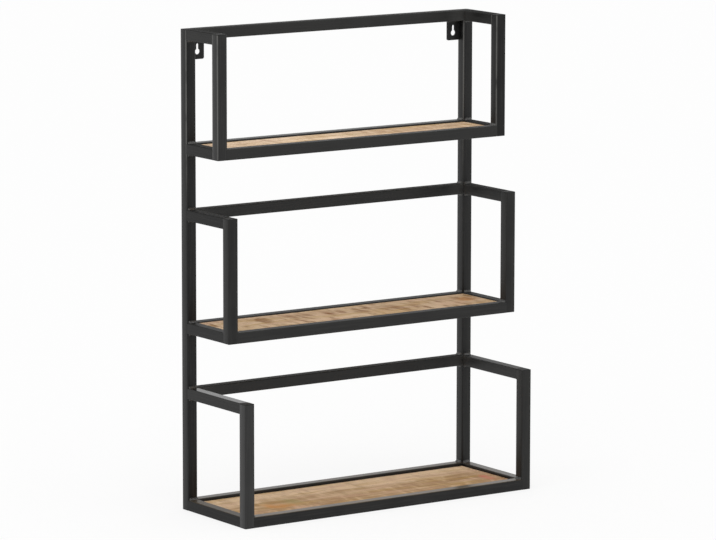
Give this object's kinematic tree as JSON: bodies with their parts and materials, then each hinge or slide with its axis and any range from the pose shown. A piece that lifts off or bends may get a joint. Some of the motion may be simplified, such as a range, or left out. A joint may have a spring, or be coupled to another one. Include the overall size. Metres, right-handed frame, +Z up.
{
  "type": "wall shelf",
  "caption": "Wall shelf of welded black square tube with open stepped tiers, a rough wood plank inset in each, hung by keyhole plates under the top rear rail.",
  "frame": {"origin": "under the middle of the whole shelf, at the height of its lowest faces", "axes": "+X to the right seen from the front, +Y from the room towards the wall, +Z up; the wall plane is at +Y 100 mm"},
  "size_m": [0.6, 0.2, 0.835],
  "materials": {
    "black_steel": "satin black paint over square steel tube, streaked along the tube, lighter on rubbed edges",
    "mango_wood": "rough-sawn mango wood, matt, pale tan with brown streaks along the plank",
    "black_plastic": "matt black moulded plastic"
  },
  "bodies": {
    "root": {"bottom_back_rail": "black_steel", "bottom_board": "mango_wood", "bottom_board_tabs": "black_steel", "bottom_left_arm": "black_steel", "bottom_left_upright": "black_steel", "bottom_right_arm": "black_steel", "bottom_right_upright": "black_steel", "bottom_shelf_front_rail": "black_steel", "bottom_shelf_left_rail": "black_steel", "bottom_shelf_rear_rail": "black_steel", "bottom_shelf_right_rail": "black_steel", "bottom_upright_end_caps": "black_plastic", "bottom_weld_beads": "black_steel", "hanger_weld_beads": "black_steel", "left_hanger_plate": "black_steel", "left_post": "black_steel", "middle_back_rail": "black_steel", "middle_board": "mango_wood", "middle_board_tabs": "black_steel", "middle_left_arm": "black_steel", "middle_left_upright": "black_steel", "middle_right_arm": "black_steel", "middle_right_upright": "black_steel", "middle_shelf_front_rail": "black_steel", "middle_shelf_left_rail": "black_steel", "middle_shelf_rear_rail": "black_steel", "middle_shelf_right_rail": "black_steel", "middle_upright_end_caps": "black_plastic", "middle_weld_beads": "black_steel", "post_end_caps": "black_plastic", "right_hanger_plate": "black_steel", "right_post": "black_steel", "top_back_rail": "black_steel", "top_board": "mango_wood", "top_board_tabs": "black_steel", "top_left_arm": "black_steel", "top_left_upright": "black_steel", "top_right_arm": "black_steel", "top_right_upright": "black_steel", "top_shelf_front_rail": "black_steel", "top_shelf_left_rail": "black_steel", "top_shelf_rear_rail": "black_steel", "top_shelf_right_rail": "black_steel", "top_upright_end_caps": "black_plastic", "top_weld_beads": "black_steel"}
  },
  "joints": []
}
